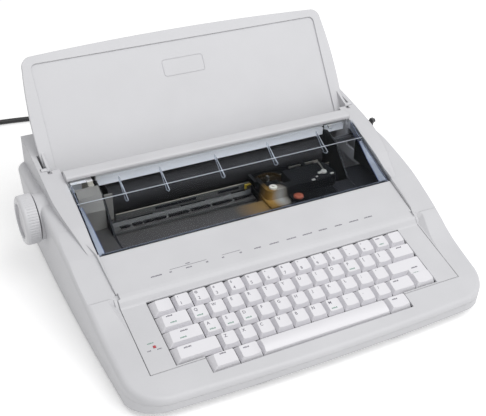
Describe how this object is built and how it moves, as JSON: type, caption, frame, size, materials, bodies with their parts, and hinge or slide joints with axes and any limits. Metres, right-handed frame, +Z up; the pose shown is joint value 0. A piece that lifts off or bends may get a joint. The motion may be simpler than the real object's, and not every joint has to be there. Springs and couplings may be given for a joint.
{
  "type": "daisy wheel typewriter",
  "caption": "Low wedge-shaped electronic typewriter with a clear cover over its print wheel and platen, a side knob, a sloping keyboard and a raised paper support.",
  "frame": {"origin": "centre of the machine's footprint on the table, measured without the cord", "axes": "+X to the right as the typist sits, +Y to the rear, +Z up"},
  "size_m": [0.5206, 0.6476, 0.2161],
  "materials": {
    "case_plastic": "light cool grey moulded plastic, fine grain",
    "pale_plastic": "off-white moulded plastic",
    "key_plastic": "off-white keycaps with small grey characters",
    "clear_plastic": "clear acrylic",
    "dark_plastic": "black moulded plastic",
    "grey_plastic": "grey moulded plastic",
    "platen_rubber": "black ground rubber",
    "steel": "ground steel",
    "plated_steel": "zinc plated sheet",
    "circuit_board": "green laminate",
    "amber_plastic": "amber plastic",
    "orange_plastic": "orange plastic",
    "foot_rubber": "black rubber",
    "cord_jacket": "black cord jacket",
    "lamp_red": "red lens",
    "transformer_iron": "lacquered laminations"
  },
  "bodies": {
    "chassis": {"upper_case": "case_plastic", "lower_case": "case_plastic", "front_panel": "case_plastic", "chute_bar": "pale_plastic", "paper_pan": "plated_steel", "side_frame_left": "plated_steel", "side_frame_right": "plated_steel", "carriage_rod": "steel", "frame_ties": "dark_plastic", "feed_motor": "plated_steel", "main_board": "circuit_board", "transformer": "transformer_iron", "power_switch_body": "dark_plastic", "status_lamp": "lamp_red", "keyboard_plate": "plated_steel", "keyboard_board": "circuit_board", "feet": "foot_rubber", "case_screws": "steel", "mains_cord": "cord_jacket", "strain_relief": "cord_jacket", "cord_coil": "cord_jacket", "mains_plug": "cord_jacket"},
    "window": {"window_cover": "clear_plastic"},
    "paper_table": {"paper_support": "pale_plastic"},
    "platen": {"platen_roller": "platen_rubber", "platen_shaft": "steel", "platen_knob": "pale_plastic", "platen_gear": "pale_plastic"},
    "feed_drive": {"feed_pinion": "pale_plastic"},
    "feed_roller_set": {"feed_rollers": "platen_rubber"},
    "release": {"release_lever": "pale_plastic"},
    "carriage": {"carriage_sled": "dark_plastic", "wheel_motor": "plated_steel", "hammer_solenoid": "grey_plastic", "carriage_motor": "plated_steel", "ribbon_cassette": "dark_plastic", "card_holder": "clear_plastic"},
    "carriage_drive": {"carriage_pinion": "pale_plastic"},
    "wheel": {"wheel_hub": "steel", "daisy_wheel": "amber_plastic"},
    "hammer": {"print_hammer": "steel"},
    "ribbon_winder": {"ribbon_knob": "orange_plastic"},
    "spool_left": {"tape_spool_left": "pale_plastic"},
    "spool_right": {"tape_spool_right": "pale_plastic"},
    "rocker": {"power_rocker": "dark_plastic"},
    "key_code_top_body": {"key_code_top": "key_plastic"},
    "key_tab_body": {"key_tab": "key_plastic"},
    "key_erase_body": {"key_erase": "key_plastic"},
    "key_lock_body": {"key_lock": "key_plastic"},
    "key_shift_left_body": {"key_shift_left": "key_plastic"},
    "key_shift_right_body": {"key_shift_right": "key_plastic"},
    "key_code_body": {"key_code": "key_plastic"},
    "key_alt_body": {"key_alt": "key_plastic"},
    "key_space_body": {"key_space": "key_plastic"},
    "key_index_body": {"key_index": "key_plastic"},
    "key_return_body": {"key_return": "key_plastic"},
    "keys_number_row_body": {"keys_number_row": "key_plastic"},
    "keys_upper_row_body": {"keys_upper_row": "key_plastic"},
    "keys_home_row_body": {"keys_home_row": "key_plastic"},
    "keys_lower_row_body": {"keys_lower_row": "key_plastic"}
  },
  "joints": [
    {"name": "window_hinge", "type": "hinge", "parent": "chassis", "child": "window", "pos_m": [0.00932, 0.06621, 0.1045], "axis": [1, 0, 0], "range_deg": [-75, 0]},
    {"name": "paper_support_hinge", "type": "hinge", "parent": "chassis", "child": "paper_table", "pos_m": [0.00932, 0.10321, 0.115], "axis": [1, 0, 0], "range_deg": [0, 138]},
    {"name": "platen_turn", "type": "hinge", "parent": "chassis", "child": "platen", "pos_m": [0.00932, 0.07921, 0.076], "axis": [1, 0, 0], "continuous": true},
    {"name": "feed_pinion_turn", "type": "hinge", "parent": "chassis", "child": "feed_drive", "pos_m": [-0.13968, 0.09733, 0.04461], "axis": [1, 0, 0], "continuous": true},
    {"name": "feed_rollers_turn", "type": "hinge", "parent": "chassis", "child": "feed_roller_set", "pos_m": [0.00932, 0.07621, 0.05279], "axis": [1, 0, 0], "continuous": true},
    {"name": "release_lever_turn", "type": "hinge", "parent": "chassis", "child": "release", "pos_m": [0.15432, 0.09521, 0.084], "axis": [1, 0, 0], "range_deg": [0, 14]},
    {"name": "carriage_slide", "type": "slide", "parent": "chassis", "child": "carriage", "axis": [1, 0, 0], "range_m": [-0.158, 0.017]},
    {"name": "carriage_pinion_turn", "type": "hinge", "parent": "carriage", "child": "carriage_drive", "pos_m": [0.10032, 0.02555, 0.053], "axis": [0, 0, 1], "continuous": true},
    {"name": "daisy_wheel_turn", "type": "hinge", "parent": "carriage", "child": "wheel", "pos_m": [0.06132, 0.05221, 0.045], "axis": [0, 1, 0], "continuous": true},
    {"name": "hammer_strike", "type": "slide", "parent": "carriage", "child": "hammer", "axis": [0, 1, 0], "range_m": [0, 0.002], "stiffness_N_per_m": 200, "springref_m": -0.0005},
    {"name": "ribbon_winder_turn", "type": "hinge", "parent": "carriage", "child": "ribbon_winder", "pos_m": [0.07582, 0.00421, 0.072], "axis": [0, 0, 1], "continuous": true},
    {"name": "tape_spool_left_turn", "type": "hinge", "parent": "carriage", "child": "spool_left", "pos_m": [0.04732, 0.03621, 0.064], "axis": [0, 0, 1], "continuous": true},
    {"name": "tape_spool_right_turn", "type": "hinge", "parent": "carriage", "child": "spool_right", "pos_m": [0.11532, 0.03621, 0.064], "axis": [0, 0, 1], "continuous": true},
    {"name": "power_rocker_turn", "type": "hinge", "parent": "chassis", "child": "rocker", "pos_m": [-0.14068, 0.16721, 0.047], "axis": [1, 0, 0], "range_deg": [-12, 0]},
    {"name": "key_code_top_press", "type": "slide", "parent": "chassis", "child": "key_code_top_body", "axis": [0, 0.2419, -0.9703], "range_m": [0, 0.0035], "stiffness_N_per_m": 120, "springref_m": -0.003},
    {"name": "key_tab_press", "type": "slide", "parent": "chassis", "child": "key_tab_body", "axis": [0, 0.2419, -0.9703], "range_m": [0, 0.0035], "stiffness_N_per_m": 120, "springref_m": -0.003},
    {"name": "key_erase_press", "type": "slide", "parent": "chassis", "child": "key_erase_body", "axis": [0, 0.2419, -0.9703], "range_m": [0, 0.0035], "stiffness_N_per_m": 120, "springref_m": -0.003},
    {"name": "key_lock_press", "type": "slide", "parent": "chassis", "child": "key_lock_body", "axis": [0, 0.2419, -0.9703], "range_m": [0, 0.0035], "stiffness_N_per_m": 120, "springref_m": -0.003},
    {"name": "key_shift_left_press", "type": "slide", "parent": "chassis", "child": "key_shift_left_body", "axis": [0, 0.2419, -0.9703], "range_m": [0, 0.0035], "stiffness_N_per_m": 120, "springref_m": -0.003},
    {"name": "key_shift_right_press", "type": "slide", "parent": "chassis", "child": "key_shift_right_body", "axis": [0, 0.2419, -0.9703], "range_m": [0, 0.0035], "stiffness_N_per_m": 120, "springref_m": -0.003},
    {"name": "key_code_press", "type": "slide", "parent": "chassis", "child": "key_code_body", "axis": [0, 0.2419, -0.9703], "range_m": [0, 0.0035], "stiffness_N_per_m": 120, "springref_m": -0.003},
    {"name": "key_alt_press", "type": "slide", "parent": "chassis", "child": "key_alt_body", "axis": [0, 0.2419, -0.9703], "range_m": [0, 0.0035], "stiffness_N_per_m": 120, "springref_m": -0.003},
    {"name": "key_space_press", "type": "slide", "parent": "chassis", "child": "key_space_body", "axis": [0, 0.2419, -0.9703], "range_m": [0, 0.0035], "stiffness_N_per_m": 200, "springref_m": -0.003},
    {"name": "key_index_press", "type": "slide", "parent": "chassis", "child": "key_index_body", "axis": [0, 0.2419, -0.9703], "range_m": [0, 0.0035], "stiffness_N_per_m": 120, "springref_m": -0.003},
    {"name": "key_return_press", "type": "slide", "parent": "chassis", "child": "key_return_body", "axis": [0, 0.2419, -0.9703], "range_m": [0, 0.0035], "stiffness_N_per_m": 120, "springref_m": -0.003},
    {"name": "keys_number_row_press", "type": "slide", "parent": "chassis", "child": "keys_number_row_body", "axis": [0, 0.2419, -0.9703], "range_m": [0, 0.0035], "stiffness_N_per_m": 600, "springref_m": -0.003},
    {"name": "keys_upper_row_press", "type": "slide", "parent": "chassis", "child": "keys_upper_row_body", "axis": [0, 0.2419, -0.9703], "range_m": [0, 0.0035], "stiffness_N_per_m": 600, "springref_m": -0.003},
    {"name": "keys_home_row_press", "type": "slide", "parent": "chassis", "child": "keys_home_row_body", "axis": [0, 0.2419, -0.9703], "range_m": [0, 0.0035], "stiffness_N_per_m": 600, "springref_m": -0.003},
    {"name": "keys_lower_row_press", "type": "slide", "parent": "chassis", "child": "keys_lower_row_body", "axis": [0, 0.2419, -0.9703], "range_m": [0, 0.0035], "stiffness_N_per_m": 600, "springref_m": -0.003}
  ],
  "couplings": [
    {"joint": "feed_pinion_turn", "follows": "platen_turn", "ratio": -5},
    {"joint": "feed_rollers_turn", "follows": "platen_turn", "ratio": -2.8333},
    {"joint": "carriage_pinion_turn", "follows": "carriage_slide", "rad_per_m": 103.07},
    {"joint": "tape_spool_right_turn", "follows": "tape_spool_left_turn", "ratio": 1}
  ]
}
